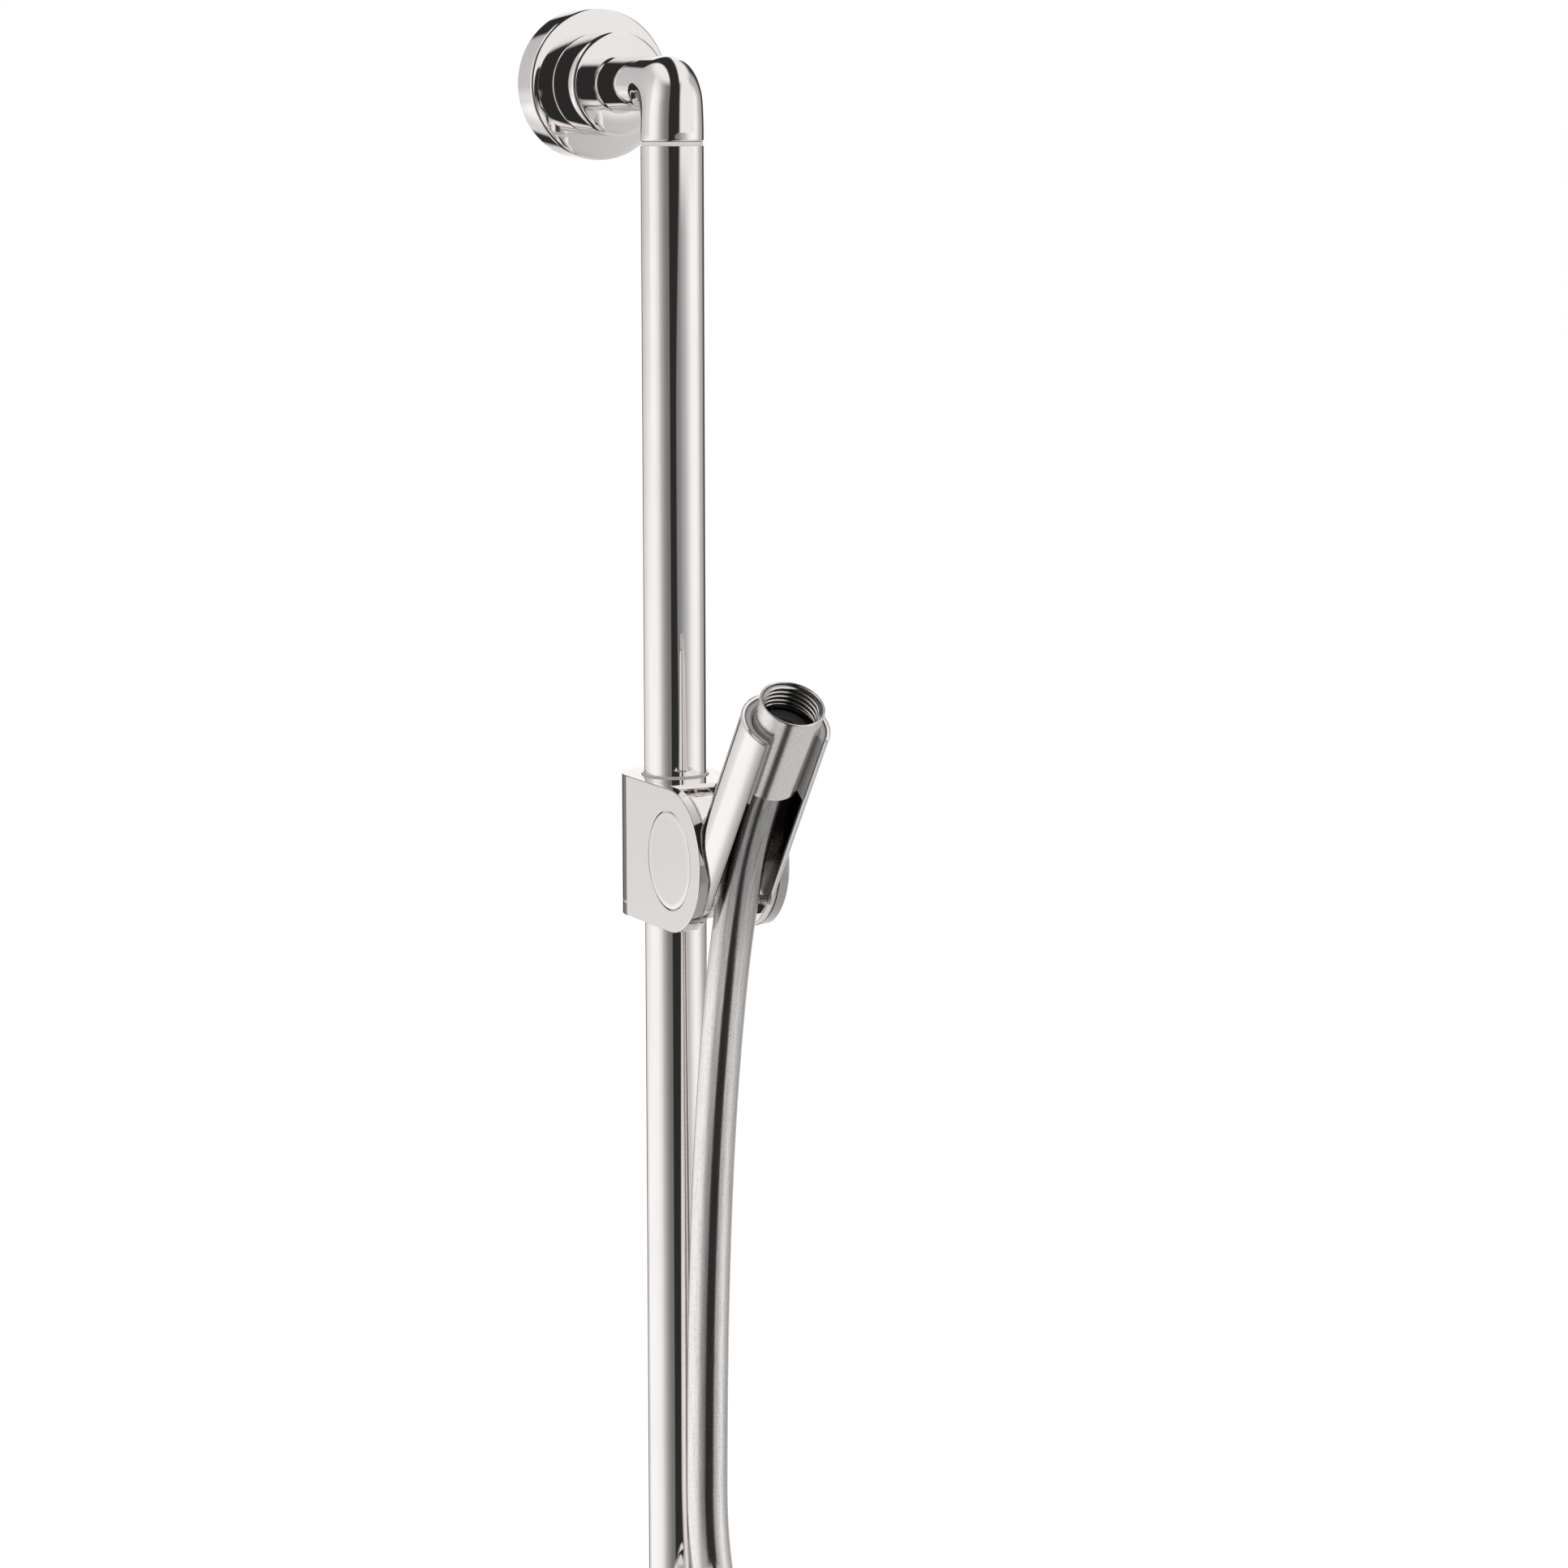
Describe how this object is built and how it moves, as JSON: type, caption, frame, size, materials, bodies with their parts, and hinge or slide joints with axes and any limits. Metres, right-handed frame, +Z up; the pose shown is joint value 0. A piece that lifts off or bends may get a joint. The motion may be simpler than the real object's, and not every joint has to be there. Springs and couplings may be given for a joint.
{
  "type": "shower slide rail",
  "caption": "Upright wall rail on round rosettes with a sliding, turning and tilting hose holder, push buttons, and a shower hose hanging from its conical nut.",
  "frame": {"origin": "where the upper bracket's axis meets the wall", "axes": "+Z up along the bar, +Y into the wall, the part stands out towards -Y"},
  "size_m": [0.1106, 0.1756, 0.8038],
  "materials": {
    "polished_chrome": "polished chrome plate",
    "satin_chrome": "satin chrome plate",
    "bracket_steel": "zinc-plated steel",
    "fastener_steel": "plain steel",
    "reveal_plastic": "pale satin plastic",
    "liner_plastic": "grey moulded plastic",
    "sleeve_plastic": "dark grey moulded plastic",
    "hose_skin": "smooth silver hose with fine metallic grain",
    "nipple_metal": "plated brass",
    "seal_rubber": "black rubber",
    "tie_plastic": "pale grey strap"
  },
  "bodies": {
    "rail": {"top_wall_plate": "bracket_steel", "bottom_wall_plate": "bracket_steel", "top_rosette": "polished_chrome", "bottom_rosette": "polished_chrome", "top_collar": "polished_chrome", "bottom_collar": "polished_chrome", "top_grub_screw": "fastener_steel", "bottom_grub_screw": "fastener_steel", "top_elbow": "polished_chrome", "bottom_elbow": "polished_chrome", "top_reveal_ring": "reveal_plastic", "bottom_reveal_ring": "reveal_plastic", "top_joiner": "fastener_steel", "bottom_joiner": "fastener_steel", "rail_tube": "polished_chrome"},
    "glide": {"glide_sleeve": "sleeve_plastic"},
    "slider": {"slider_core": "polished_chrome", "slider_bottom_cap": "polished_chrome", "cheek_pins": "fastener_steel", "left_cheek": "satin_chrome", "right_cheek": "satin_chrome", "left_button_spring": "fastener_steel", "right_button_spring": "fastener_steel", "hose": "hose_skin", "hose_hank": "hose_skin", "left_hose_tie": "tie_plastic", "right_hose_tie": "tie_plastic", "end_ferrule": "nipple_metal", "end_seal": "seal_rubber"},
    "left_button": {"left_button": "satin_chrome"},
    "right_button": {"right_button": "satin_chrome"},
    "holder": {"holder": "polished_chrome", "holder_liner": "liner_plastic", "hose_ferrule": "nipple_metal", "hose_seal": "seal_rubber"},
    "hose_nut": {"hose_nut": "satin_chrome"},
    "end_nut": {"end_nut": "polished_chrome"}
  },
  "joints": [
    {"name": "rail_slide", "type": "slide", "parent": "rail", "child": "glide", "axis": [0, 0, 1], "range_m": [-0.33, 0.21]},
    {"name": "slider_turn", "type": "hinge", "parent": "glide", "child": "slider", "pos_m": [0, -0.073, -0.2657], "axis": [0, 0, 1], "range_deg": [-45, 45]},
    {"name": "holder_tilt", "type": "hinge", "parent": "slider", "child": "holder", "pos_m": [0, -0.1046, -0.2657], "axis": [1, 0, 0], "range_deg": [-30, 35], "deforming": ["hose"]},
    {"name": "left_button_press", "type": "slide", "parent": "slider", "child": "left_button", "axis": [1, 0, 0], "range_m": [0, 0.0012], "stiffness_N_per_m": 2500, "deforming": ["left_button_spring"]},
    {"name": "right_button_press", "type": "slide", "parent": "slider", "child": "right_button", "axis": [-1, 0, 0], "range_m": [0, 0.0012], "stiffness_N_per_m": 2500, "deforming": ["right_button_spring"]},
    {"name": "hose_nut_spin", "type": "hinge", "parent": "holder", "child": "hose_nut", "pos_m": [0, -0.15171, -0.22544], "axis": [0, -0.5736, 0.8192], "continuous": true},
    {"name": "end_nut_spin", "type": "hinge", "parent": "slider", "child": "end_nut", "pos_m": [0.044, -0.127, -0.766], "axis": [0, 0, 1], "continuous": true}
  ]
}
